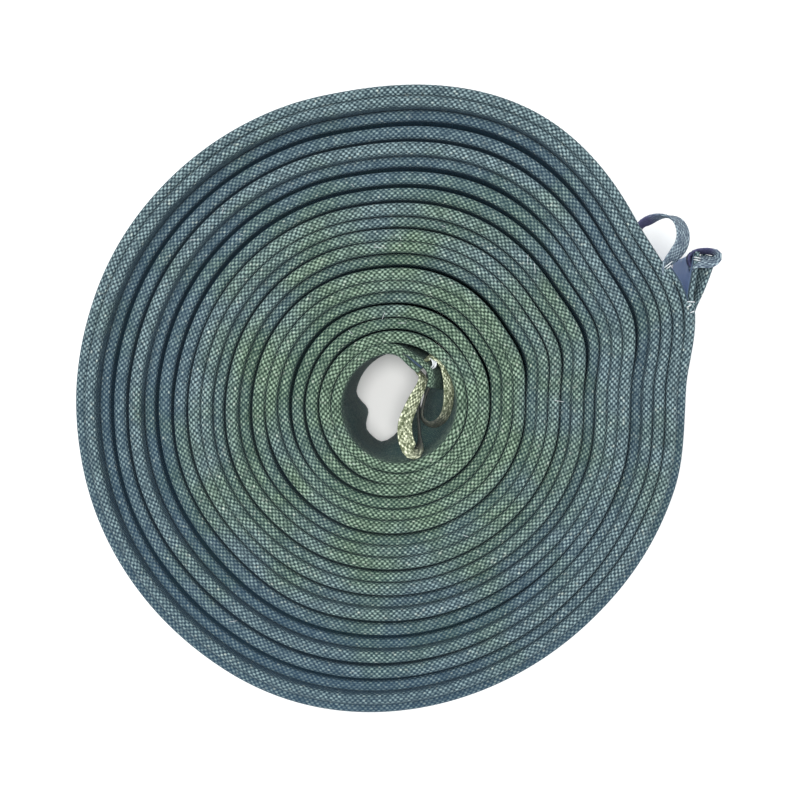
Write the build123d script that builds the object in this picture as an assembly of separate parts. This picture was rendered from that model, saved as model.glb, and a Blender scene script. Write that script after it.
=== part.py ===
from build123d import *
from collections import namedtuple
from math import cos, radians, sin
import os

# Rolled lay-flat fire hose: a woven tube with a rubber lining, wound flat into a roll, with a slit mouth at
# the outer end and sewn tape loops at both ends. The roll lies on z = 0 with its axis along Z, and the origin
# is the middle of its core. It is wound counter-clockwise from the core outwards, seen from above. Every part
# is built at its resting place, in millimetres.

# Hose, laid flat
FLAT_WIDTH = 85.0  # also the height of the roll
JACKET_WALL = 1.5
LINING_WALL = 0.8
BORE_SLIT = 0.8  # what is left open between the two walls
HOSE_THICKNESS = 2 * (JACKET_WALL + LINING_WALL) + BORE_SLIT
FOLD_CHAMFER = 1.4  # how much the folded edges of the jacket are rounded off

# Roll: quarter arcs about centres that step, so the turns sit closer on the right than on the left
CORE_RADIUS = 27.0
CORE_CENTRE = (-2.3, -1.0)
FULL_TURNS = 19
GROWTH_AT_LEFT = 1.37
GROWTH_AT_BOTTOM = 1.69
GROWTH_AT_RIGHT = 1.80
GROWTH_AT_TOP = 1.48
FIRST_ANGLE = 105.0  # where the roll proper begins and its inner end leaves the core wall
TAIL_ANGLE = -10.0  # where the loose outer end begins, on the last turn
MOUTH_ANGLE = 17.0  # where the outer end is slit into two flaps

# Loose ends
JOINT_GAP = 0.3  # between a body and the one that bends away from it outwards
WIDE_JOINT_GAP = 0.6  # between bodies that bend both ways
CORE_BEND_RADIUS = 14.0
CORE_BEND_ANGLE = 55.0
CORE_END_LENGTH = 13.5
FLAP_LENGTH = 24.0
FLAP_LEAN = 36.0  # how far the outer flap flares away from the inner one

# Tape loops and thread
TAPE_WIDTH = 9.0
TAPE_THICKNESS = 1.4
FOOT_RADIUS = 1.7
THREAD = 0.7
STITCH_LENGTH = 3.2
STITCH_PITCH = 1.5
STITCH_COUNT = 5
BARTACK_COUNT = 3
BARTACK_SETBACK = 3.2  # from the slit back to the middle of the bartack


def direction(angle):
    return Vector(cos(radians(angle)), sin(radians(angle)), 0)


def spiral_arcs():
    """Quarter arcs of the hose's middle line, from the core outwards: (centre, radius, first, last angle)."""
    centre = Vector(*CORE_CENTRE)
    radius = CORE_RADIUS + HOSE_THICKNESS / 2
    steps = {
        180: (Vector(1, 0), GROWTH_AT_LEFT),
        270: (Vector(0, 1), GROWTH_AT_BOTTOM),
        0: (Vector(-1, 0), GROWTH_AT_RIGHT),
        90: (Vector(0, -1), GROWTH_AT_TOP),
    }
    arcs = []
    angle = 90
    last = 360 * (FULL_TURNS + 1) + 90
    while angle < last:
        arcs.append((centre, radius, angle, angle + 90))
        angle += 90
        step, growth = steps[angle % 360]
        centre = centre + step * growth
        radius += growth
    return arcs


ARCS = spiral_arcs()
LAST_RIGHT = 360 * (FULL_TURNS + 1)  # the whole angle at which the last turn passes the right side


def arc_at(angle):
    return next(arc for arc in ARCS if arc[2] <= angle < arc[3])


def on_spiral(angle, out=0.0):
    """A point at a whole angle along the spiral, out from the middle line by that much."""
    centre, radius, _, _ = arc_at(angle)
    return centre + direction(angle) * (radius + out)


def cross_section(where, heading, outline, hole=None):
    """An upright section across the heading. outline and hole are (thickness, width, corner chamfer)."""
    across = heading.cross(Vector(0, 0, 1))
    plane = Plane(origin=where + Vector(0, 0, FLAT_WIDTH / 2), x_dir=across, z_dir=heading)
    thickness, width, corner = outline
    shape = Rectangle(thickness, width)
    if corner:
        shape = chamfer(shape.vertices(), corner)
    if hole:
        shape -= Rectangle(hole[0], hole[1])
    return (plane * shape).face()


def arc_run(arc, first, last, outline, hole):
    """One layer of the flat hose along one arc of its middle line."""
    centre, radius, _, _ = arc
    start = centre + direction(first) * radius
    section = cross_section(start, direction(first + 90), outline, hole)
    return revolve(section, Axis(centre, (0, 0, 1)), last - first)


def straight_run(start, heading, length, outline, hole=None):
    return extrude(cross_section(start, heading, outline, hole), length, dir=heading)


def spiral_layer(first, last, outline, hole):
    """One layer of the hose between two whole angles of the spiral."""
    pieces = []
    for arc in ARCS:
        low, high = max(first, arc[2]), min(last, arc[3])
        if low < high:
            pieces.append(arc_run(arc, low, high, outline, hole))
    return pieces[0].fuse(*pieces[1:])


JACKET_OUTSIDE = (HOSE_THICKNESS, FLAT_WIDTH, FOLD_CHAMFER)
JACKET_INSIDE = (HOSE_THICKNESS - 2 * JACKET_WALL, FLAT_WIDTH - 2 * JACKET_WALL, 0)
LINING_INSIDE = (BORE_SLIT, JACKET_INSIDE[1] - 2 * LINING_WALL, 0)
JACKET_PLY = (JACKET_WALL, FLAT_WIDTH, 0)
LINING_PLY = (LINING_WALL, JACKET_INSIDE[1], 0)


def tube(run):
    """The jacket and the lining of one length of hose. run(outline, hole) makes a layer of it."""
    return run(JACKET_OUTSIDE, JACKET_INSIDE), run(JACKET_INSIDE, LINING_INSIDE)


def gap_angle(gap, radius):
    return gap / radians(1) / radius


def roll():
    return tube(lambda *layer: spiral_layer(FIRST_ANGLE, LAST_RIGHT + TAIL_ANGLE, *layer))


def tail():
    """The loose outer end: the hose as far as the slit, and beyond it the inner flap."""
    start = LAST_RIGHT + TAIL_ANGLE
    start += gap_angle(JOINT_GAP, arc_at(start)[1])
    mouth = LAST_RIGHT + MOUTH_ANGLE
    jacket, lining = tube(lambda *layer: spiral_layer(start, mouth, *layer))
    heading = direction(mouth + 90)
    ply = -(HOSE_THICKNESS - JACKET_WALL) / 2
    skin = -(BORE_SLIT + LINING_WALL) / 2
    woven = straight_run(on_spiral(mouth, ply), heading, FLAP_LENGTH, JACKET_PLY)
    rubber = straight_run(on_spiral(mouth, skin), heading, FLAP_LENGTH, LINING_PLY)
    return jacket + woven, lining + rubber


def flap_frame():
    """Where the outer flap bends, on the hose's outer skin, and which way it points."""
    mouth = LAST_RIGHT + MOUTH_ANGLE
    return on_spiral(mouth, HOSE_THICKNESS / 2), direction(mouth + 90 - FLAP_LEAN)


def mouth_flap():
    """The outer flap of the slit mouth: a strip of jacket with its lining on the inside."""
    pivot, heading = flap_frame()
    inward = Vector(0, 0, 1).cross(heading)
    root = pivot + heading * WIDE_JOINT_GAP
    jacket_line = root + inward * (JACKET_WALL / 2)
    lining_line = root + inward * (JACKET_WALL + LINING_WALL / 2)
    jacket = straight_run(jacket_line, heading, FLAP_LENGTH, JACKET_PLY)
    lining = straight_run(lining_line, heading, FLAP_LENGTH, LINING_PLY)
    return jacket, lining


def core_end_frame():
    """The pivot, the bend's centre, the bend's end and the heading of the hose's inner end."""
    pivot = on_spiral(FIRST_ANGLE)
    bend_centre = pivot - direction(FIRST_ANGLE) * CORE_BEND_RADIUS
    last_angle = FIRST_ANGLE - CORE_BEND_ANGLE
    bend_end = bend_centre + direction(last_angle) * CORE_BEND_RADIUS
    return pivot, bend_centre, bend_end, direction(last_angle - 90)


def core_end():
    """The inner end of the hose, which leaves the core's wall and crosses the hole."""
    _, centre, bend_end, heading = core_end_frame()
    last_angle = FIRST_ANGLE - CORE_BEND_ANGLE
    first_angle = FIRST_ANGLE - gap_angle(WIDE_JOINT_GAP, CORE_BEND_RADIUS)
    bend = (centre, CORE_BEND_RADIUS, last_angle, first_angle)

    def run(*layer):
        curved = arc_run(bend, last_angle, first_angle, *layer)
        return curved + straight_run(bend_end, heading, CORE_END_LENGTH, *layer)

    return tube(run)


def teardrop(foot, middle, radius, inset=0.0):
    """The outline of a loop: narrow at its foot, round at its far end."""
    return make_hull(
        (Pos(*foot) * Circle(FOOT_RADIUS - inset)).edges() + (Pos(*middle) * Circle(radius - inset)).edges()
    )


def tape_loop(foot, middle, radius, top):
    """A loop of tape standing on its edge, its upper edge at height top."""
    outline = teardrop(foot, middle, radius) - teardrop(foot, middle, radius, TAPE_THICKNESS)
    return extrude(Pos(0, 0, top - TAPE_WIDTH) * outline, TAPE_WIDTH)


def stitches(middle, along, outward):
    """A row of short threads, one above the other, lying flat on a face. along is the face's level line."""
    threads = []
    for i in range(STITCH_COUNT):
        height = (i - (STITCH_COUNT - 1) / 2) * STITCH_PITCH
        place = middle + outward * (THREAD / 2) + Vector(0, 0, height)
        plane = Plane(origin=place, x_dir=along, z_dir=outward)
        threads.append((plane * Box(STITCH_LENGTH, THREAD, THREAD)).solid())
    return threads


def bartack():
    """The close row of thread that stops the slit from running on, over the top fold of the hose."""
    mouth = LAST_RIGHT + MOUTH_ANGLE
    where = mouth - gap_angle(BARTACK_SETBACK, arc_at(mouth)[1])
    middle = on_spiral(where)
    heading = direction(where + 90)
    across = direction(where)
    flat_top = HOSE_THICKNESS - 2 * FOLD_CHAMFER
    threads = []
    for i in range(BARTACK_COUNT):
        along = (i - (BARTACK_COUNT - 1) / 2) * STITCH_PITCH
        place = middle + heading * along + Vector(0, 0, FLAT_WIDTH + THREAD / 2)
        plane = Plane(origin=place, x_dir=across, z_dir=(0, 0, 1))
        threads.append(plane * Box(flat_top, THREAD, THREAD))
    return Compound(children=[thread.solid() for thread in threads])


def loop_place(loop):
    """Where a loop's foot is, and the middle of its round end."""
    origin, heading, outward = loop.frame()
    foot = origin + heading * loop.foot_along + outward * loop.foot_off
    return foot, foot + direction(loop.towards) * loop.reach


def tail_frame():
    """The slit's root on the hose's middle line, the inner flap's heading, and the side facing the mouth."""
    mouth = LAST_RIGHT + MOUTH_ANGLE
    return on_spiral(mouth), direction(mouth + 90), direction(mouth)


def outer_flap_frame():
    pivot, heading = flap_frame()
    return pivot + heading * WIDE_JOINT_GAP, heading, heading.cross(Vector(0, 0, 1))


def core_hole_side():
    _, _, bend_end, heading = core_end_frame()
    return bend_end, heading, heading.cross(Vector(0, 0, 1))


def core_wall_side():
    bend_end, heading, outward = core_hole_side()
    return bend_end, heading, -outward


# A loop's foot is so far along and off its frame. It points towards an angle, and reach is how far the
# middle of its round end is from the foot
Loop = namedtuple("Loop", "frame foot_along foot_off towards reach end_radius top")
LOOPS = {
    "tape_loop_tail": Loop(tail_frame, 23.0, 2.0, 94.0, 15.5, end_radius=8.0, top=80.0),
    "tape_loop_flap": Loop(outer_flap_frame, 22.0, 2.3, 37.0, 7.1, end_radius=5.5, top=80.0),
    "tape_loop_core_left": Loop(core_hole_side, 12.5, 4.85, 263.4, 33.8, end_radius=4.6, top=82.0),
    "tape_loop_core_right": Loop(core_wall_side, 15.0, 6.75, 269.5, 25.6, end_radius=5.8, top=80.0),
}
# A row of stitches is so far along its loop's frame, on a face so far off it
Row = namedtuple("Row", "loop along off")
INNER_FLAP_FACE = JACKET_WALL + LINING_WALL - HOSE_THICKNESS / 2
STITCHES = {
    "tail_loop_stitches": [Row("tape_loop_tail", 19.0, INNER_FLAP_FACE)],
    "flap_loop_stitches": [Row("tape_loop_flap", 18.0, 0.0)],
    "core_loop_stitches": [
        Row("tape_loop_core_left", 8.6, HOSE_THICKNESS / 2),
        Row("tape_loop_core_right", 10.6, HOSE_THICKNESS / 2),
    ],
}


def loop_node(name):
    loop = LOOPS[name]
    foot, middle = loop_place(loop)
    return tape_loop((foot.X, foot.Y), (middle.X, middle.Y), loop.end_radius, loop.top)


def stitch_node(name):
    """The threads that hold a loop's foot, on the face that the foot lies against."""
    threads = []
    for row in STITCHES[name]:
        loop = LOOPS[row.loop]
        origin, heading, outward = loop.frame()
        middle_height = loop.top - TAPE_WIDTH / 2
        middle = origin + heading * row.along + outward * row.off + Vector(0, 0, middle_height)
        threads += stitches(middle, heading, outward)
    return Compound(children=threads)


def main():
    nodes = {}
    nodes["jacket_roll"], nodes["lining_roll"] = roll()
    nodes["jacket_tail"], nodes["lining_tail"] = tail()
    nodes["jacket_mouth_flap"], nodes["lining_mouth_flap"] = mouth_flap()
    nodes["jacket_core_end"], nodes["lining_core_end"] = core_end()
    nodes["mouth_bartack"] = bartack()
    for name in LOOPS:
        nodes[name] = loop_node(name)
    for name in STITCHES:
        nodes[name] = stitch_node(name)
    os.makedirs("parts", exist_ok=True)
    for name, shape in nodes.items():
        export_step(shape, f"parts/{name}.step")
    length = sum(
        radius * radians(min(last, LAST_RIGHT + MOUTH_ANGLE) - max(first, FIRST_ANGLE))
        for _, radius, first, last in ARCS
        if first < LAST_RIGHT + MOUTH_ANGLE
    )
    length += FLAP_LENGTH + radians(CORE_BEND_ANGLE) * CORE_BEND_RADIUS + CORE_END_LENGTH
    print(f"hose length {length:.0f} mm")
    for name, loop in LOOPS.items():
        print(name, *loop_place(loop))
    print("rest", on_spiral(LAST_RIGHT - 360 * (FULL_TURNS // 2)))
    print("tail pivot", on_spiral(LAST_RIGHT + TAIL_ANGLE, HOSE_THICKNESS / 2))
    print("flap pivot", flap_frame()[0])
    print("core pivot", core_end_frame()[0])


main()
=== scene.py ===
from math import cos, pi, radians, sin

import bpy
import numpy as np
from mathutils import Matrix, Vector


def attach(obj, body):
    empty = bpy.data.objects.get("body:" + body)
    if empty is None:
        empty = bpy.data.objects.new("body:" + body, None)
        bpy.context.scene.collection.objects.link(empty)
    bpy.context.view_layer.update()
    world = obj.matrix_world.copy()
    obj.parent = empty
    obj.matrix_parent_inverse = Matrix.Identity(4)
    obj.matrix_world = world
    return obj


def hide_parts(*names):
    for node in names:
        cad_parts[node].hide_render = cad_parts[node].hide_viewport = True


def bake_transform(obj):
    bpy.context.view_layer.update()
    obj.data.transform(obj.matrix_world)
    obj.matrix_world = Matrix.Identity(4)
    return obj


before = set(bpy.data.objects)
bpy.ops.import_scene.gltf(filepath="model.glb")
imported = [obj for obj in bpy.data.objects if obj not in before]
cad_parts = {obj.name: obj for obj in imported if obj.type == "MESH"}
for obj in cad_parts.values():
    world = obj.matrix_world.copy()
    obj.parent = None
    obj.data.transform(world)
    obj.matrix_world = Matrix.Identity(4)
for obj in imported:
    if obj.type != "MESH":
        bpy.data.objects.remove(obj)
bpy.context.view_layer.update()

MM = 0.001

# ---------------------------------------------------------------- the hose and the way it is wound
FLAT_WIDTH = 85 * MM
THICKNESS = 5.4 * MM
FOLD_HEIGHT = 2.6 * MM  # how deep the rounding of a folded edge is
FOLD_SQUARENESS = 2.5  # 2 is a round fold, more is a flatter one

CORE_RADIUS = 27 * MM
CORE_CENTRE = (-2.3 * MM, -1 * MM)
TURNS = 20
# For each quarter of a turn, by where it begins: which way its centre steps, and how much the radius grows
GROWTH = {
    180: ((1, 0), 1.37 * MM), 270: ((0, 1), 1.69 * MM), 0: ((-1, 0), 1.80 * MM), 90: ((0, -1), 1.48 * MM),
}
FIRST_ANGLE = 105.0
LAST_RIGHT = 360.0 * TURNS
MOUTH = LAST_RIGHT + 17
TAIL_SEAM = LAST_RIGHT - 26  # where the loose end's own mesh begins, a little before its hinge
STATION = 3.1 * MM  # between two rings of the mesh

# Slack between turns: each crevice is a stretch of the spiral with a wide gap outside it. Whole angles of
# the inner turn where it begins and ends, how much of the slack it takes, and by how many millimetres the
# turn outside it sinks
CREVICES = [
    (400, 620, 1.3, 3.0),
    (830, 1290, 1.7, 3.5),
    (1990, 2370, 2.3, 5.0),
    (2980, 3340, 1.7, 4.0),
    (3830, 4170, 2.2, 5.0),
    (4350, 4640, 2.8, 6.5),
    (4725, 4990, 2.8, 7.0),
    (5370, 5680, 2.8, 6.5),
    (5800, 6070, 3.2, 8.0),
]
EVEN_SLACK = 0.14  # the share that every gap gets
LEAST_GAP = 0.03 * MM
# The roll is a little out of round: (angle, how wide, how far out the outermost turn is there)
BULGES = [
    (60, 40, 8.3 * MM), (252, 68, 9.2 * MM), (200, 40, 3.2 * MM), (130, 50, -1.6 * MM), (345, 45, -1 * MM),
    (18, 17, 5.4 * MM), (0, 18, -3.0 * MM),
]


def spiral_arcs():
    """Centres and radii of the quarter arcs of the hose's middle line, from the core outwards."""
    centre = np.array(CORE_CENTRE)
    radius = CORE_RADIUS + THICKNESS / 2
    centres, radii = [], []
    for quarter in range(4 * TURNS + 1):
        centres.append(centre)
        radii.append(radius)
        step, growth = GROWTH[(90 * quarter + 180) % 360]
        centre = centre + np.array(step) * growth
        radius += growth
    return np.array(centres), np.array(radii)


CENTRES, RADII = spiral_arcs()


def smooth(x):
    x = np.clip(x, 0, 1)
    return x * x * (3 - 2 * x)


def window(angle, first, last, fade=45):
    return smooth((angle - first + fade / 2) / fade) * smooth((last - angle + fade / 2) / fade)


def wander(angle, spacing, seed):
    """A smooth random line between -1 and 1, with a new value every so many degrees."""
    values = np.random.default_rng(seed).uniform(-1, 1, int((LAST_RIGHT + 720) / spacing) + 3)
    place = np.asarray(angle, float) / spacing
    low = np.floor(place).astype(int)
    return values[low] + (values[low + 1] - values[low]) * smooth(place - low)


def even_radius(angle):
    """The centre and radius of the evenly wound spiral at whole angles."""
    quarter = np.clip(((np.asarray(angle) - 90) // 90).astype(int), 0, len(RADII) - 1)
    return CENTRES[quarter], RADII[quarter]


def outwards(angle):
    return np.stack([np.cos(np.radians(angle)), np.sin(np.radians(angle))], -1)


def out_of_round(angle):
    total = np.zeros_like(angle)
    for middle, width, height in BULGES:
        away = np.abs((angle - middle + 180) % 360 - 180)
        total += height * smooth(1 - away / width)
    return total


def settle():
    """How far each point of the spiral lies out from the even one, at every whole degree from FIRST_ANGLE."""
    degrees = FIRST_ANGLE + np.arange(360 * (TURNS + 1)).reshape(TURNS + 1, 360)
    step, growth = (CENTRES[4:8] - CENTRES[:4]), RADII[4] - RADII[0]
    pitch = growth + outwards(degrees[0]) @ step[0]
    share = EVEN_SLACK * (1 + 0.8 * wander(degrees, 37, 2))
    for first, last, slack, _ in CREVICES:
        share += slack * window(degrees, first, last)
    slack = TURNS * (pitch - THICKNESS - LEAST_GAP) + out_of_round(degrees[0])
    gaps = LEAST_GAP + share[:-1] * slack / share[:-1].sum(axis=0)
    steps = THICKNESS + gaps - pitch
    seam = steps[0, 0] * smooth(np.arange(360) / 360)
    return np.concatenate([seam, (seam + np.cumsum(steps, axis=0)).ravel()])


SETTLED = settle()


def settled(angle):
    return np.interp(angle, FIRST_ANGLE + np.arange(len(SETTLED)), SETTLED)


def sunk(angle):
    """How far the upper fold lies below the highest ones. Outside a crevice it rises over some turns."""
    angle = np.asarray(angle, float)
    spread = 0.27 - 0.25 * np.cos(np.radians(angle - 285 + 180))
    depth = np.zeros_like(angle)
    for first, last, _, sink in CREVICES:
        for turn in range(1, 4):
            depth += sink * MM * spread ** (turn - 1) * window(angle - 360 * turn, first, last, 60)
    last_turn = 8.0 * MM * smooth((angle - LAST_RIGHT + 215) / 75)
    return depth + last_turn * (1 - smooth((angle - LAST_RIGHT + 12) / 26))


def fold_line(angle, out=0.0):
    """Points of the hose's middle line, plus so far outwards."""
    centre, radius = even_radius(angle)
    return centre + outwards(angle) * (radius + settled(angle) + out)[..., None]


# Faces round a section: over its upper fold, up each side, and round its foot
TOP_STEPS = 12
SIDE_STEPS = 4
FOOT_STEPS = 6


def section(half, top, foot):
    """Closed outlines of a flattened tube, one for each of the arrays' values: (outwards, height) of each
    point, from the middle of its foot up its inner side, over the upper fold and down its outer side."""
    half, top, foot = (np.atleast_1d(v)[:, None] for v in (half, top, foot))
    power = 2 / FOLD_SQUARENESS

    def fold(turn):
        return np.sign(np.cos(turn)) * np.abs(np.cos(turn)) ** power, np.abs(np.sin(turn)) ** power

    across, up = fold(np.linspace(pi, 0, TOP_STEPS + 1)[None, :])
    over = half * across, top - FOLD_HEIGHT * (1 - up)
    across, up = fold(np.linspace(0, pi, FOOT_STEPS + 1)[None, :])
    under = half * across, foot + FOLD_HEIGHT * (1 - up)
    rise = np.linspace(0, 1, SIDE_STEPS + 1)[None, 1:-1]
    low, high = foot + FOLD_HEIGHT, top - FOLD_HEIGHT
    inner = np.repeat(-half, SIDE_STEPS - 1, axis=1), low + (high - low) * rise
    outer = -inner[0], high + (low - high) * rise
    middle = FOOT_STEPS // 2
    parts = [
        (under[0][:, middle:], under[1][:, middle:]), inner, over, outer,
        (under[0][:, :middle], under[1][:, :middle]),
    ]
    return np.concatenate([p[0] for p in parts], axis=1), np.concatenate([p[1] for p in parts], axis=1)


def top_edge(angle):
    return FLAT_WIDTH + 1.2 * MM - sunk(angle) + 0.7 * MM * wander(angle, 55, 3)


def slump(angle):
    """How far the foot of the innermost turn has slid into the core."""
    return 19 * MM * window(angle, 256, 408, 40) + 6 * MM * window(angle, 182, 208, 24)


def gap_outside(angle):
    """The gap to the next turn out, which the lower part of the turn spreads into."""
    here, there = fold_line(angle), fold_line(angle + 360)
    gap = np.linalg.norm(there - here, axis=-1) - THICKNESS
    return np.where(angle + 360 < MOUTH - 5, np.clip(gap, 0, None), 0)


def hose_rings(angles, swing=0.0):
    """Rings of points round the hose at those whole angles, moved outwards by swing."""
    foot = 0.5 * MM + 0.4 * MM * wander(angles, 70, 4)
    across, height = section(THICKNESS / 2 + 0.1 * MM * wander(angles, 33, 5), top_edge(angles), foot)
    lean = 0.3 * MM * wander(angles, 48, 6)[:, None] * (height / FLAT_WIDTH) ** 4
    sway = 0.2 * MM * wander(angles, 21, 7)[:, None] * np.sin(pi * height / FLAT_WIDTH)
    slide = slump(angles)[:, None] * smooth(1 - height / FLAT_WIDTH)
    spread = 0.3 + 0.67 * smooth(1.35 * (1 - height / FLAT_WIDTH))
    fill = gap_outside(angles)[:, None] * spread * np.clip(across / (THICKNESS / 2), 0, 1)
    out = across + lean + sway + fill - slide
    place = fold_line(angles, swing)[:, None, :] + outwards(angles)[:, None, :] * out[..., None]
    return np.concatenate([place, height[..., None]], -1)


def heading_of(line):
    step = np.gradient(line, axis=0)
    return step / np.linalg.norm(step, axis=1)[:, None]


def upright_rings(line, half, top, foot, flare=0.0):
    """Rings round a wall that stands along a line in plan. Its foot stands out to the right by flare."""
    ahead = heading_of(line)
    right = np.stack([ahead[:, 1], -ahead[:, 0]], 1)
    ones = np.ones(len(line))
    across, height = section(half * ones, top * ones, foot * ones)
    lean = np.sin(pi / 2 * np.clip(1 - height / FLAT_WIDTH, 0, 1) ** 0.7)
    out = across + np.reshape(flare * ones, (-1, 1)) * lean
    place = line[:, None, :] + right[:, None, :] * out[..., None]
    return np.concatenate([place, height[..., None]], -1)


def through(stops, spacing=1.5 * MM):
    """A smooth line through some points."""
    stops = np.asarray(stops, float)
    padded = np.concatenate([[2 * stops[0] - stops[1]], stops, [2 * stops[-1] - stops[-2]]])
    line = []
    for before, first, last, after in zip(padded, padded[1:], padded[2:], padded[3:]):
        count = max(2, int(np.linalg.norm((last - first)[:3]) / spacing))
        t = np.arange(count)[:, None] / count
        square = (2 * before - 5 * first + 4 * last - after) * t**2
        cube = (3 * first - before - 3 * last + after) * t**3
        line.append(first + 0.5 * ((last - before) * t + (square + cube)))
    return np.concatenate(line + [stops[-1:]])


def unit(vectors):
    return vectors / np.linalg.norm(vectors, axis=-1, keepdims=True)


TAPE_SIDES = 18
THREAD_SIDES = 8


def ribbon_rings(line, tilt, width, thickness, sides=TAPE_SIDES):
    """Rings of a tape along a line in space. Untilted it stands on edge; tilt lays its top to the right."""
    ahead = unit(np.gradient(line, axis=0))
    up = unit(np.array([0, 0, 1.0]) - ahead * ahead[:, 2:])
    right = np.cross(ahead, up)
    tilt = np.radians(tilt)[:, None]
    edge = up * np.cos(tilt) + right * np.sin(tilt)
    face = np.cross(ahead, edge)
    turn = np.linspace(0, 2 * pi, sides, endpoint=False) + 0.01
    u = np.sign(np.cos(turn)) * np.abs(np.cos(turn)) ** 0.55 * width / 2
    v = np.sign(np.sin(turn)) * np.abs(np.sin(turn)) ** 0.8 * thickness / 2
    return line[:, None, :] + edge[:, None, :] * u[None, :, None] + face[:, None, :] * v[None, :, None]


def thread_rings(line, thickness):
    return ribbon_rings(line, np.zeros(len(line)), thickness, thickness, THREAD_SIDES)


def run_length(rings):
    """How far along the hose each ring is, in metres, along the middle line."""
    middle = rings.mean(axis=1)
    return np.concatenate([[0], np.cumsum(np.linalg.norm(np.diff(middle, axis=0), axis=1))])


def skin(name, rings, along, material):
    """A mesh over rings of points, with the place along and round the weave as its UV map, in metres."""
    count, size = rings.shape[:2]
    edge = np.concatenate([rings, rings[:, :1]], axis=1)
    around = np.concatenate(
        [np.zeros((count, 1)), np.cumsum(np.linalg.norm(np.diff(edge, axis=1), axis=2), axis=1)], axis=1
    )
    around -= around[:, -1:] / 2
    i, j = np.meshgrid(np.arange(count - 1), np.arange(size), indexing="ij")
    i, j = i.ravel(), j.ravel()
    beside = (j + 1) % size
    quads = np.stack([i * size + j, i * size + beside, (i + 1) * size + beside, (i + 1) * size + j], 1)
    uv = np.stack([
        np.stack([along[i], around[i, j]], 1), np.stack([along[i], around[i, j + 1]], 1),
        np.stack([along[i + 1], around[i + 1, j + 1]], 1), np.stack([along[i + 1], around[i + 1, j]], 1),
    ], 1).reshape(-1, 2)
    faces = quads.tolist()
    faces.append(list(range(size))[::-1])
    faces.append([(count - 1) * size + k for k in range(size)])
    uv = np.concatenate([uv, np.zeros((2 * size, 2))])
    mesh = bpy.data.meshes.new(name)
    mesh.from_pydata(rings.reshape(-1, 3).tolist(), [], faces)
    layer = mesh.uv_layers.new(name="weave")
    layer.data.foreach_set("uv", uv.astype(np.float32).ravel())
    smooth_faces = np.ones(len(faces), bool)
    smooth_faces[len(quads):] = False
    mesh.polygons.foreach_set("use_smooth", smooth_faces)
    mesh.materials.append(material)
    mesh.validate()
    piece = bpy.data.objects.new(name, mesh)
    bpy.context.scene.collection.objects.link(piece)
    return piece


def mark(piece, name, values):
    """Stores one number for each point of the mesh, for its material."""
    layer = piece.data.attributes.new(name, "FLOAT", "POINT")
    layer.data.foreach_set("value", np.ascontiguousarray(values, np.float32).ravel())


# ---------------------------------------------------------------- materials
class Graph:
    """A short way to write a material's nodes."""

    def __init__(self, name):
        self.material = bpy.data.materials.new(name)
        self.material.use_nodes = True
        self.tree = self.material.node_tree
        self.shader = self.tree.nodes["Principled BSDF"]

    def put(self, socket, value):
        if isinstance(value, bpy.types.NodeSocket):
            self.tree.links.new(value, socket)
        else:
            socket.default_value = value

    def node(self, kind, inputs=(), **settings):
        made = self.tree.nodes.new("ShaderNode" + kind)
        for key, value in settings.items():
            setattr(made, key, value)
        for key, value in dict(inputs).items():
            self.put(made.inputs[key], value)
        return made

    def math(self, operation, *values):
        made = self.node("Math", dict(enumerate(values)), operation=operation)
        return made.outputs[0]

    def mix(self, share, first, second):
        made = self.node("Mix", {0: share, 6: first, 7: second}, data_type="RGBA")
        return made.outputs[2]

    def noise(self, scale, detail=2.0, **inputs):
        place = self.node("TexCoord").outputs["Object"]
        made = self.node("TexNoise", {"Vector": place, "Scale": scale, "Detail": detail, **inputs})
        return made.outputs["Fac"]

    def ramp(self, value, low, high):
        made = self.node("MapRange", {"Value": value, "From Min": low, "From Max": high})
        return made.outputs["Result"]

    def mark(self, name):
        return self.node("Attribute", attribute_name=name).outputs["Fac"]

    def finish(self, colour, roughness, bump=None, depth=0.0):
        self.put(self.shader.inputs["Base Color"], colour)
        self.put(self.shader.inputs["Roughness"], roughness)
        if bump is not None:
            made = self.node("Bump", {"Height": bump, "Distance": depth})
            self.put(self.shader.inputs["Normal"], made.outputs["Normal"])
        return self.material


def weave_cells(g, along, around, offset=0.0):
    """The plain weave over the UV map: the height of the yarns, how much the pale yarn covers, and a random
    number for each crossing, all from 0 to 1."""
    uv = g.node("SeparateXYZ", {0: g.node("UVMap", uv_map="weave").outputs["UV"]})
    wobble = g.noise(300, 2.0)
    first = g.math("MULTIPLY_ADD", uv.outputs[0], 1 / along, g.math("MULTIPLY", wobble, 0.7))
    second = g.math("MULTIPLY_ADD", uv.outputs[1], 1 / around, g.math("MULTIPLY", wobble, -0.5))
    second = g.math("ADD", second, offset)
    across, row = (g.math("SINE", g.math("MULTIPLY", place, pi)) for place in (first, second))
    wave = g.math("MULTIPLY", across, row)
    rows = g.math("MULTIPLY_ADD", g.math("ABSOLUTE", row), 0.5, g.math("SUBTRACT", wave, 0.3))
    cover = g.ramp(g.math("MULTIPLY_ADD", g.math("SUBTRACT", g.noise(900, 2.0), 0.5), 1.5, rows), -0.8, 0.8)
    height = g.math("MULTIPLY_ADD", g.math("ABSOLUTE", wave), 0.5, g.math("MULTIPLY", cover, 0.5))
    crossing = g.node("CombineXYZ", {0: g.math("FLOOR", first), 1: g.math("FLOOR", second)})
    chance = g.node("TexWhiteNoise", {"Vector": crossing.outputs[0]}).outputs["Value"]
    return height, cover, chance


PICK = 1.375 * MM  # half a repeat of the jacket's weave along the hose
ROW = 1.3 * MM  # and round it
TAPE_CELL = (1.3 * MM, 1.1 * MM)  # both for the tapes


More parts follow.
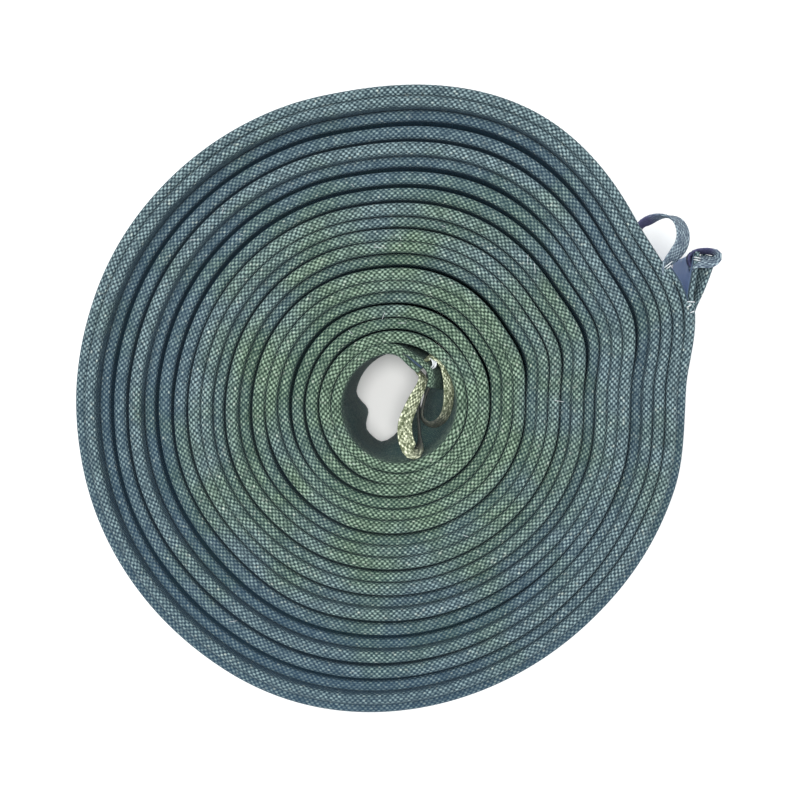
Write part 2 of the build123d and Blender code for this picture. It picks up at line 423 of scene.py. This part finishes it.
def jacket_material():
    g = Graph("jacket_weave")
    height, cover, chance = weave_cells(g, PICK, ROW, 0.5)
    patches = g.ramp(g.noise(34, 3.0), 0.34, 0.68)
    rim = g.ramp(g.math("MULTIPLY_ADD", g.math("SUBTRACT", patches, 0.5), 0.8, g.mark("rim")), 0.0, 1.0)
    pale = g.mix(rim, (0.285, 0.40, 0.29, 1), (0.265, 0.365, 0.38, 1))
    deep = g.mix(rim, (0.010, 0.028, 0.018, 1), (0.012, 0.028, 0.040, 1))
    # Painted shade: as the depth mark grows, down the sides of a fold, in crevices and on sunk turns, the
    # jacket turns to these dark navy colours and its pale yarn fades.
    shade = g.mix(rim, (0.018, 0.060, 0.068, 1), (0.020, 0.054, 0.098, 1))
    # Painted light: in the deepest parts of a crevice the painted shade turns a lighter blue again, standing
    # in for light that does not reach there.
    painted_deep_fill = g.mix(rim, (0.045, 0.150, 0.135, 1), (0.040, 0.115, 0.180, 1))
    shade = g.mix(g.ramp(g.mark("depth"), 0.7, 1.0), shade, painted_deep_fill)
    cloudy = g.math("MULTIPLY_ADD", g.noise(110, 3.0), 0.9, 0.55)
    fleck = g.ramp(g.noise(420, 1.0), 0.62, 0.74)
    pale = g.mix(g.math("MULTIPLY", fleck, 0.5), pale, (0.72, 0.78, 0.68, 1))
    # The share of the unshaded colour: 1 at the top of a fold, 0 where the painted shade is full.
    unshaded = g.ramp(g.mark("depth"), 1.0, 0.0)
    share = g.math("MULTIPLY", g.math("POWER", cover, 1.45), g.math("MULTIPLY_ADD", unshaded, 0.85, 0.15))
    share = g.math("MULTIPLY", share, g.math("MULTIPLY", cloudy, g.math("MULTIPLY_ADD", chance, 0.75, 0.48)))
    colour = g.mix(share, g.mix(unshaded, shade, deep), pale)
    fuzz = g.noise(1500, 2.0)
    bump = g.math("MULTIPLY_ADD", fuzz, 0.25, height)
    g.shader.inputs["Specular IOR Level"].default_value = 0.12
    g.shader.inputs["Sheen Weight"].default_value = 0.06
    g.shader.inputs["Sheen Tint"].default_value = (0.55, 0.75, 1.0, 1)
    return g.finish(colour, g.ramp(fuzz, -0.9, 1.2), bump, 0.4 * MM)


def lining_material():
    g = Graph("lining_rubber")
    place = g.node("UVMap", uv_map="weave").outputs["UV"]
    streak = g.node("TexNoise", {"Vector": place, "Scale": 500.0, "Detail": 3.0})
    cloud = g.noise(120, 3.0)
    colour = g.mix(cloud, (0.15, 0.23, 0.42, 1), (0.22, 0.31, 0.52, 1))
    colour = g.mix(g.math("MULTIPLY", streak.outputs["Fac"], 0.3), colour, (0.26, 0.33, 0.46, 1))
    # Painted shade: the rubber darkens towards its top edge, by its edge mark.
    colour = g.mix(g.ramp(g.mark("edge"), 0.0, 1.0), colour, (0.055, 0.090, 0.125, 1))
    g.shader.inputs["Specular IOR Level"].default_value = 0.2
    return g.finish(colour, g.ramp(cloud, -0.5, 1.4), streak.outputs["Fac"], 0.15 * MM)


def tape_material(name, pale, deep, under, spotted):
    """Woven tape. Its "under" mark paints shade on it: where it is set, the tape turns to the darker under
    colour, a painted shade for the stretches of a loop seen in shade.
    """
    g = Graph(name)
    height, cover, chance = weave_cells(g, *TAPE_CELL)
    spots = g.ramp(g.math("MULTIPLY_ADD", chance, 0.35, g.noise(650, 3.0)), 0.58, 0.76)
    g.shader.inputs["Specular IOR Level"].default_value = 0.15
    share = g.math("MULTIPLY_ADD", g.math("POWER", cover, 1.2), 0.85, 0.12)
    share = g.math("MULTIPLY", share, g.math("SUBTRACT", 1.0, g.math("MULTIPLY", spots, spotted)))
    colour = g.mix(share, deep, pale)
    # Painted shade: where the under mark is set the tape goes dark, darker still in the low parts of its
    # weave.
    shaded = g.mix(g.math("MULTIPLY", height, 0.5), under, deep)
    colour = g.mix(g.ramp(g.mark("under"), 0.0, 1.0), colour, shaded)
    fuzz = g.noise(1800, 2.0)
    bump = g.math("MULTIPLY_ADD", fuzz, 0.3, height)
    return g.finish(colour, g.ramp(fuzz, -0.8, 1.2), bump, 0.35 * MM)


def thread_material():
    g = Graph("thread")
    uv = g.node("SeparateXYZ", {0: g.node("UVMap", uv_map="weave").outputs["UV"]})
    lay = 2 * pi / (0.9 * MM)
    twist = g.math("MULTIPLY_ADD", uv.outputs[0], lay, g.math("MULTIPLY", uv.outputs[1], lay))
    twist = g.math("MULTIPLY_ADD", g.math("SINE", twist), 0.5, 0.5)
    # Painted shade: the twist's grooves, low in its bump, are painted grey on the white thread.
    colour = g.mix(twist, (0.52, 0.56, 0.60, 1), (0.86, 0.88, 0.88, 1))
    return g.finish(colour, g.ramp(twist, -1.0, 1.3), twist, 0.12 * MM)


# ---------------------------------------------------------------- camera, floor and light
CAMERA = (0.034, 0.034, FLAT_WIDTH + 0.65)
AIM = (0.0, 0.0025, FLAT_WIDTH)
VIEW_WIDTH = 0.4  # what the picture's width takes in at the height of the upper folds
SENSOR = 36


def camera():
    data = bpy.data.cameras.new("camera")
    made = bpy.data.objects.new("camera", data)
    bpy.context.scene.collection.objects.link(made)
    made.location = CAMERA
    look = Vector(AIM) - made.location
    back = -look.normalized()
    right = Vector((0, 1, 0)).cross(back).normalized()
    made.rotation_euler = Matrix((right, back.cross(right), back)).transposed().to_euler()
    data.sensor_width = SENSOR
    data.lens = SENSOR * look.length / VIEW_WIDTH
    bpy.context.scene.camera = made


def area_light(name, place, target, size, power, colour):
    data = bpy.data.lights.new(name, "AREA")
    data.shape = "DISK"
    data.size = size
    data.energy = power
    data.color = colour
    made = bpy.data.objects.new(name, data)
    bpy.context.scene.collection.objects.link(made)
    made.location = place
    made.rotation_euler = (Vector(target) - Vector(place)).to_track_quat("-Z", "Y").to_euler()


def studio():
    bpy.ops.mesh.primitive_plane_add(size=6)
    floor = bpy.context.object
    floor.name = "studio_floor"
    g = Graph("pale_floor")
    g.finish(g.mix(g.noise(3), (0.90, 0.90, 0.90, 1), (0.93, 0.93, 0.93, 1)), 0.8)
    floor.data.materials.append(g.material)
    world = bpy.data.worlds.new("soft_studio")
    bpy.context.scene.world = world
    world.use_nodes = True
    sky = world.node_tree.nodes["Background"]
    sky.inputs["Color"].default_value = (0.93, 0.97, 1.0, 1)
    sky.inputs["Strength"].default_value = 0.74
    area_light("overhead", (0.02, 0.05, 1.9), (0, 0, 0), 0.5, 27, (1.0, 0.99, 0.97))
    area_light("side", (-0.7, 0.8, 1.5), (0, 0, 0), 0.9, 7, (0.97, 0.99, 1.0))
    bpy.context.scene.view_settings.view_transform = "Standard"


# ---------------------------------------------------------------- pieces
jacket = jacket_material()
lining = lining_material()
# The third colour of each tape is painted shade, for the stretches of a loop seen in shade.
outer_tape = tape_material(
    "outer_tape", (0.38, 0.48, 0.53, 1), (0.035, 0.055, 0.095, 1), (0.075, 0.070, 0.150, 1), 0.6
)
core_tape = tape_material(
    "core_tape", (0.95, 1.0, 0.72, 1), (0.075, 0.095, 0.045, 1), (0.04, 0.04, 0.05, 1), 0.9
)
thread = thread_material()


def at_angle(degrees):
    return np.array([cos(radians(degrees)), sin(radians(degrees))])


def stations(first, last):
    """Whole angles between two, about one station apart."""
    angles = [first]
    while angles[-1] < last:
        angles.append(angles[-1] + np.degrees(STATION / even_radius(angles[-1])[1]))
    return np.append(angles[:-1], last)


ROLL_MIDDLE = (-4 * MM, 2 * MM)
GREEN_UP_TO = 45 * MM  # the distance from the middle at which the jacket's green begins to turn blue
TO_BLUE = 85 * MM  # and over how far it does
FOLD_LIT = 0.6 * MM  # the top of a fold that never gets painted shade
DEEPEST = 8 * MM  # below this a crevice gets no more painted shade
SHADED = 0.45  # how much of a turn's sink is marked as depth, so that sunk turns get a little painted shade


def woven_marks(piece, rings, tops, hidden=0.15, sink=0.0):
    """Marks a jacket's points with how far out in the roll they are, and with a depth mark for its painted
    shade:
    how deep in a crevice, plus a share of the turn's sink. Hidden is how much a point's depth below its own
    fold counts, from 0 to 1."""
    away = np.hypot(rings[..., 0] - ROLL_MIDDLE[0], rings[..., 1] - ROLL_MIDDLE[1])
    mark(piece, "rim", (away - GREEN_UP_TO) / TO_BLUE)
    deep = np.clip(np.reshape(tops, (-1, 1)) - rings[..., 2] - FOLD_LIT, 0, DEEPEST)
    mark(piece, "depth", (hidden * deep + SHADED * np.reshape(sink, (-1, 1))) / DEEPEST)


def hidden_sides(angles, rings):
    """How much painted shade each point of the wound hose gets below its own fold: less in the core and where
    no turn lies outside it.
    """
    middle = fold_line(angles)[:, None, :]
    side = ((rings[..., :2] - middle) * outwards(angles)[:, None, :]).sum(axis=-1)
    outer = 1 - 0.9 * smooth((angles + 360 - TAIL_SEAM) / 30)
    inner = 0.75 + 0.25 * smooth((angles - FIRST_ANGLE - 330) / 60)
    return np.where(side > 0, outer[:, None], inner[:, None])


def make_roll():
    angles = stations(FIRST_ANGLE, TAIL_SEAM)
    rings = hose_rings(angles)
    along = run_length(rings)
    piece = skin("hose_roll", rings, along, jacket)
    woven_marks(piece, rings, top_edge(angles), hidden_sides(angles, rings), sunk(angles))
    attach(piece, "roll")
    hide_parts("jacket_roll", "lining_roll")
    return along[-1]


PLY = 2.6 * MM  # one woven wall of the slit hose
SKIN = 0.8 * MM  # the rubber on it
WALL_OFF = THICKNESS / 2 - PLY / 2 + 0.05 * MM  # from the hose's middle line to a wall's
WALL_FOOT = 0.6 * MM  # a wall's lower edge above the ground
SKIN_FOOT = 1.2 * MM  # and its rubber's
SWING = 0.8 * MM  # how far the slit end stands off the roll
BACK = 3 * MM  # how far the flaps reach back into the closed hose
FLAP = 24 * MM  # the outer flap's length
OUTER_HEADING = 84  # the way it points, in degrees
FOLD_WIDTH = 10.5 * MM  # the turned-over edge of the outer flap
FOLD_THICKNESS = 2.4 * MM
TAPE_THICKNESS = 1.5 * MM


def swing_out(angle):
    return SWING * smooth((angle - LAST_RIGHT - 2) / 15)


def make_tail(along):
    """The loose end up to the slit."""
    angles = stations(TAIL_SEAM, MOUTH)
    rings = hose_rings(angles, swing_out(angles))
    lengths = along + run_length(rings)
    piece = skin("hose_tail", rings, lengths, jacket)
    woven_marks(piece, rings, top_edge(angles), sink=sunk(angles))
    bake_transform(piece)
    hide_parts("jacket_tail", "lining_tail")
    return lengths[-1]


def ply_pair(name, line, top, along, lining_side, flare=0.0, lip=1.7 * MM):
    """One wall of the slit hose: the woven ply, and the rubber skin on one side of it (1 is the right), whose
    edge lies a lip lower."""
    ahead = heading_of(line)
    right = np.stack([ahead[:, 1], -ahead[:, 0]], 1)
    woven = upright_rings(line, PLY / 2, top, WALL_FOOT, flare)
    lengths = along + run_length(woven)
    ply = skin(name, woven, lengths, jacket)
    woven_marks(ply, woven, top * np.ones(len(line)))
    beside = line + right * lining_side * (PLY + SKIN) / 2
    rubber = upright_rings(beside, SKIN / 2, top - lip, SKIN_FOOT, flare)
    face = skin(name + "_lining", rubber, lengths, lining)
    # The edge mark sets painted shade along the top 0.7 mm of the rubber.
    mark(face, "edge", 1 - (top - lip - rubber[..., 2]) / (0.7 * MM))
    return ply, face


def slit_frame():
    """Where the slit begins on the middle line, and which way is right and ahead there."""
    apex = fold_line(np.array([MOUTH]), SWING)[0]
    right = outwards(MOUTH)
    return apex, right, np.array([-right[1], right[0]])


def make_inner_flap(along):
    apex, right, ahead = slit_frame()
    root = apex - right * WALL_OFF
    line = through([
        root - ahead * BACK, root, root + ahead * 8 * MM - right * 0.7 * MM,
        root + ahead * 15 * MM - right * 2.4 * MM, root + ahead * 22 * MM - right * 5.4 * MM,
    ])
    ply, face = ply_pair("mouth_inner_flap", line, FLAT_WIDTH + 0.6 * MM, along, 1)
    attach(ply, "tail")
    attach(face, "tail")
    return line[-1]


def bend_with_flap(piece):
    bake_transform(piece)


def make_outer_flap(along):
    apex, right, ahead = slit_frame()
    root = apex + right * WALL_OFF
    out_ahead = at_angle(OUTER_HEADING)
    line = through([
        root - ahead * BACK, root, root + ahead * 3 * MM + right * 0.8 * MM,
        root + out_ahead * 12 * MM, root + out_ahead * FLAP,
    ])
    flare = 3.5 * MM * smooth(np.linspace(0, 1, len(line)))
    ply, face = ply_pair("mouth_outer_flap", line, FLAT_WIDTH + 0.8 * MM, along, -1, flare)
    bend_with_flap(ply)
    bend_with_flap(face)
    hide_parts("jacket_mouth_flap", "lining_mouth_flap")
    return root, line[-1]


def from_foot(foot, ahead, right, rows):
    """Stops of (x, y, z, tilt) from rows of millimetres ahead, to the right and high, and degrees."""
    return [
        (*(foot + ahead * along * MM + right * out * MM), height * MM, tilt)
        for along, out, height, tilt in rows
    ]


def make_outer_fold(along, root):
    """The outer flap's own edge, turned over beside it."""
    line = through(from_foot(root, at_angle(OUTER_HEADING), at_angle(OUTER_HEADING - 90), (
        (-9, 1.2, 76, 2), (-2, 2.0, 78, 8), (5, 3.4, 79, 20), (12, 4.6, 79.5, 30),
        (18, 5.6, 80, 36), (23, 7.0, 80, 40),
    )))
    rings = ribbon_rings(line[:, :3], line[:, 3], FOLD_WIDTH, FOLD_THICKNESS)
    piece = skin("mouth_outer_fold", rings, along + run_length(rings), jacket)
    woven_marks(piece, rings, FLAT_WIDTH * np.ones(len(line)))
    bend_with_flap(piece)


def tape(name, stops, material, width, under):
    """A tape loop through stops of (x, y, z, tilt). Under gives, along its length, how much painted shade it
    gets: the darker colour for the stretches of the loop seen in shade."""
    line = through(stops)
    rings = ribbon_rings(line[:, :3], line[:, 3], width, TAPE_THICKNESS)
    along = run_length(rings)
    piece = skin(name, rings, along, material)
    shade = np.interp(np.linspace(0, 1, len(line)), *under)
    mark(piece, "under", np.repeat(shade[:, None], rings.shape[1], axis=1))
    return piece


def make_tail_loop(foot):
    """The loop of the inner flap: up along the rim of the roll, over, and back with its face turned up."""
    ahead = at_angle(94)
    piece = tape("tail_loop", from_foot(foot, ahead, at_angle(4), (
        (-9, -0.6, 76, 0), (-4, -0.8, 75, 0), (3, -2.6, 71, -6), (9, -6.2, 70, -18),
        (14, -9.4, 74, -26), (18.8, -8.6, 79, -28), (22, -3.4, 82, -22), (22.6, 3.5, 83, 2),
        (19.6, 9.0, 83, 32), (14, 11.2, 83, 44), (8, 10.0, 83, 46), (3, 6.0, 83, 40),
        (-0.5, 2.2, 83, 24), (-5, 0.8, 81, 6),
    )), outer_tape, width=10.5 * MM, under=((0, 0.46, 0.54, 1), (1, 1, 0, 0)))
    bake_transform(piece)
    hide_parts("tape_loop_tail")


def make_flap_loop(foot):
    """The loop of the outer flap, which lies to the right: near leg with its face up, far leg on its edge."""
    piece = tape("flap_loop", from_foot(foot, at_angle(2), at_angle(-88), (
        (-2.2, 9.5, 78, 2), (-2.0, 6.6, 81, 14), (-0.4, 5.0, 83.5, 34), (2.6, 5.0, 84.5, 42),
        (5.8, 5.0, 84, 42), (9.0, 3.4, 83.5, 30), (9.2, 1.0, 83, 12), (5.4, -0.3, 82, 12),
        (0.4, -0.2, 81.5, 12), (-2.4, 1.0, 81, 10), (-3.0, 3.6, 79, 4), (-2.0, 7, 76, 0),
    )), outer_tape, width=9.5 * MM, under=((0, 0.46, 0.55, 1), (0, 0, 1, 1)))
    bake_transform(piece)
    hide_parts("tape_loop_flap")


CORE_BEND = 14 * MM  # the radius of the inner end's bend
CORE_TURN = 55.0  # how far it turns, in degrees
BEND_STEPS = 9
SLIT_AT = 8  # the step of the bend at which the inner end's slit begins
CORE_TOP = float(top_edge(np.array([FIRST_ANGLE]))[0])


def core_bend():
    """The inner end's way off the core's wall: its bend, and which way is ahead and right after it."""
    start = fold_line(np.array([FIRST_ANGLE]))[0]
    centre = start - at_angle(FIRST_ANGLE) * CORE_BEND
    turned = np.linspace(0, CORE_TURN, BEND_STEPS + 1)
    bend = np.array([centre + at_angle(FIRST_ANGLE - t) * CORE_BEND for t in turned])
    ahead = at_angle(FIRST_ANGLE - CORE_TURN - 90)
    return bend, ahead, np.array([ahead[1], -ahead[0]])


def bend_with_core_end(piece):
    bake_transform(piece)


def make_core_end():
    """The inner end up to its slit."""
    closed = core_bend()[0][:SLIT_AT + 1]
    flare = -3 * MM * smooth(np.linspace(-0.5, 1, len(closed)))
    rings = upright_rings(closed, THICKNESS / 2, CORE_TOP, WALL_FOOT, flare)
    lengths = run_length(rings)
    piece = skin("core_end", rings, lengths, jacket)
    woven_marks(piece, rings, CORE_TOP * np.ones(len(closed)), 0.6)
    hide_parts("jacket_core_end", "lining_core_end")
    bend_with_core_end(piece)


def make_core_plies():
    """The two walls of the slit inner end. The outer one reaches further and hooks to the left."""
    bend, ahead, right = core_bend()
    split = bend[SLIT_AT:]
    headings = heading_of(bend)
    lefts = np.stack([-headings[:, 1], headings[:, 0]], 1)[SLIT_AT:]
    inner = through(list(split - lefts * WALL_OFF) + [
        bend[-1] + right * (WALL_OFF + 0.4 * MM) + ahead * 6 * MM,
        bend[-1] + right * (WALL_OFF + 0.2 * MM) + ahead * 10.5 * MM,
    ])
    outer = through(list(split + lefts * WALL_OFF) + [
        bend[-1] - right * (WALL_OFF + 0.6 * MM) + ahead * 7 * MM,
        bend[-1] - right * (WALL_OFF + 0.2 * MM) + ahead * 13 * MM,
        bend[-1] - right * (WALL_OFF - 2.2 * MM) + ahead * 17 * MM,
        bend[-1] - right * (WALL_OFF - 6.2 * MM) + ahead * 19 * MM,
    ])
    for name, line, side, height, flare in (
        ("core_end_inner", inner, -1, 0.2 * MM, -3 * MM),
        ("core_end_outer", outer, 1, -0.8 * MM, -3 * MM - 6 * MM * smooth(np.linspace(0, 1, len(outer)))),
    ):
        for piece in ply_pair(name, line, CORE_TOP + height, 0.0, side, flare, lip=2.6 * MM):
            bend_with_core_end(piece)


def in_place(rows):
    """Stops of (x, y, z, tilt) from rows of three millimetres of the whole part, and degrees."""
    return [(x * MM, y * MM, z * MM, tilt) for x, y, z, tilt in rows]


def make_core_loop_left():
    """The long cream loop, which hangs across the core hole with its face turned up."""
    piece = tape("core_loop_left", in_place((
        (9, 17, 78, 12), (11.4, 13, 83, 24), (10.4, 9, 84.5, 34), (7.6, 3.5, 84.8, 42),
        (4.6, -3, 84.6, 48), (2.6, -9, 84.6, 54), (2.6, -15, 85, 62), (3.8, -19.6, 86.2, 66),
        (5.6, -22.8, 86, 66), (8, -23, 82, 40), (9.4, -19, 78, 12), (9.2, -12, 75, 4),
        (8.8, -4, 74, 0), (9.6, 4, 75, 0), (10.6, 10, 76, 0), (10, 14, 77, 0),
    )), core_tape, width=8.4 * MM, under=((0, 0.48, 0.58, 1), (0, 0, 1, 1)))
    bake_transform(piece)
    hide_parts("tape_loop_core_left")


def make_core_loop_right():
    """The hooked cream loop beside it."""
    piece = tape("core_loop_right", in_place((
        (13, 23, 80, 10), (17.5, 24.4, 82, 24), (22.0, 20.5, 82.5, 34), (24, 13, 82, 36),
        (24.4, 5, 81.5, 36), (23.6, -2, 81, 34), (21.0, -7.4, 80, 32), (16.4, -10.2, 78.5, 26),
        (12.2, -8.8, 77, 14), (10.6, -4.6, 75, 5), (12.4, 4, 73, 0), (15.6, 12, 73, 0),
        (16, 19, 75, 0),
    )), core_tape, width=8 * MM, under=((0, 0.36, 0.52, 1), (0, 0.15, 0.9, 1)))
    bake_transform(piece)
    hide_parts("tape_loop_core_right")


def joined(name, lines, thickness):
    """One piece of several threads."""
    pieces = []
    for line in lines:
        rings = thread_rings(through(line, 0.6 * MM), thickness)
        pieces.append(skin(name, rings, run_length(rings), thread))
    with bpy.context.temp_override(active_object=pieces[0], selected_editable_objects=pieces):
        bpy.ops.object.join()
    pieces[0].name = name
    return pieces[0]


def arch(place, top, across, length, height):
    """A stitch over a fold: from one side over the top to the other."""
    middle = np.array([*place, top])
    across = np.array([*across, 0.0])
    drop = np.array([0, 0, 1.0])
    return [middle + across * length * t / 2 - drop * height * t * t for t in (-1, -0.5, 0, 0.5, 1)]


STITCH_TOP = FLAT_WIDTH + 1.9 * MM


def make_bartack():
    """The stitches at the bottom of the slit, from rows of how far back and to the right each one lies, how
    far it slants ahead, its length and its height."""
    apex, right, ahead = slit_frame()
    lines = []
    for back, out, slant, long, high in (
        (0.6, 0.8, -0.35, 3.6, 1.0), (2.2, -0.6, 0.3, 2.4, 0.9), (5.5, 0.0, 0.1, 2.0, 0.7),
    ):
        place = apex - ahead * back * MM + right * out * MM
        lines.append(arch(place, STITCH_TOP, right + ahead * slant, long * MM, high * MM))
    piece = joined("mouth_bartack_threads", lines, 0.5 * MM)
    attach(piece, "tail")
    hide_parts("mouth_bartack")


def make_tail_loop_threads(foot):
    toward = at_angle(38)
    lines = [
        arch(foot + at_angle(112) * place * MM + toward * 2.0 * MM, STITCH_TOP, toward, length * MM, 1.6 * MM)
        for place, length in ((-2.6, 5.4), (-3.8, 3.0))
    ]
    piece = joined("tail_loop_threads", lines, 0.5 * MM)
    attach(piece, "tail")
    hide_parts("tail_loop_stitches")


def make_flap_loop_threads(foot):
    foot = foot + at_angle(-6) * 0.3 * MM
    top = STITCH_TOP - 0.2 * MM
    lines = [
        arch(foot + at_angle(OUTER_HEADING) * place * MM, top, at_angle(-12), 3.4 * MM, 1.3 * MM)
        for place in (-4.2, -3.0)
    ]
    piece = joined("flap_loop_threads", lines, 0.45 * MM)
    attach(piece, "mouth_flap")
    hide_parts("flap_loop_stitches")


def make_core_loop_threads():
    """The tuft of thread at the core loops' feet."""
    rng = np.random.default_rng(11)
    bend, ahead, right = core_bend()
    tuft = bend[-1] + ahead * 14.5 * MM - right * 3.2 * MM
    aside = at_angle(0)
    lines = []
    for _ in range(5):
        first = tuft + ahead * rng.uniform(-0.8, 0.8) * MM + right * rng.uniform(-0.6, 0.6) * MM
        bow = at_angle(rng.uniform(62, 92))
        lines.append([
            (*first, 83 * MM), (*(first + bow * 1.4 * MM + aside * 1.0 * MM), 86.6 * MM),
            (*(first + bow * 3.4 * MM + aside * 0.6 * MM), 86.8 * MM),
            (*(first + bow * 4.6 * MM - aside * 0.6 * MM), 84.0 * MM),
        ])
    piece = joined("core_loop_threads", lines, 0.6 * MM)
    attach(piece, "core_end")
    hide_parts("core_loop_stitches")


def make_fibres():
    """A few loose fibres on the folds."""
    rng = np.random.default_rng(5)
    lines = []
    for _ in range(18):
        angle = rng.uniform(500, LAST_RIGHT - 400)
        first = fold_line(np.array([angle]))[0]
        height = float(top_edge(np.array([angle]))[0])
        toward = at_angle(rng.uniform(0, 360))
        reach = rng.uniform(1.5, 5.5) * MM
        lines.append([
            (*first, height - 0.1 * MM), (*(first + toward * reach * 0.4), height + 0.7 * MM),
            (*(first + toward * reach), height + rng.uniform(0.2, 0.9) * MM),
        ])
    piece = joined("loose_fibres", lines, 0.17 * MM)
    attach(piece, "roll")


camera()
studio()
length = make_roll()
length = make_tail(length)
inner_foot = make_inner_flap(length)
outer_root, outer_foot = make_outer_flap(length)
make_outer_fold(length, outer_root)
make_tail_loop(inner_foot)
make_flap_loop(outer_foot)
make_core_end()
make_core_plies()
make_core_loop_left()
make_core_loop_right()
make_bartack()
make_tail_loop_threads(inner_foot)
make_flap_loop_threads(outer_foot)
make_core_loop_threads()
make_fibres()
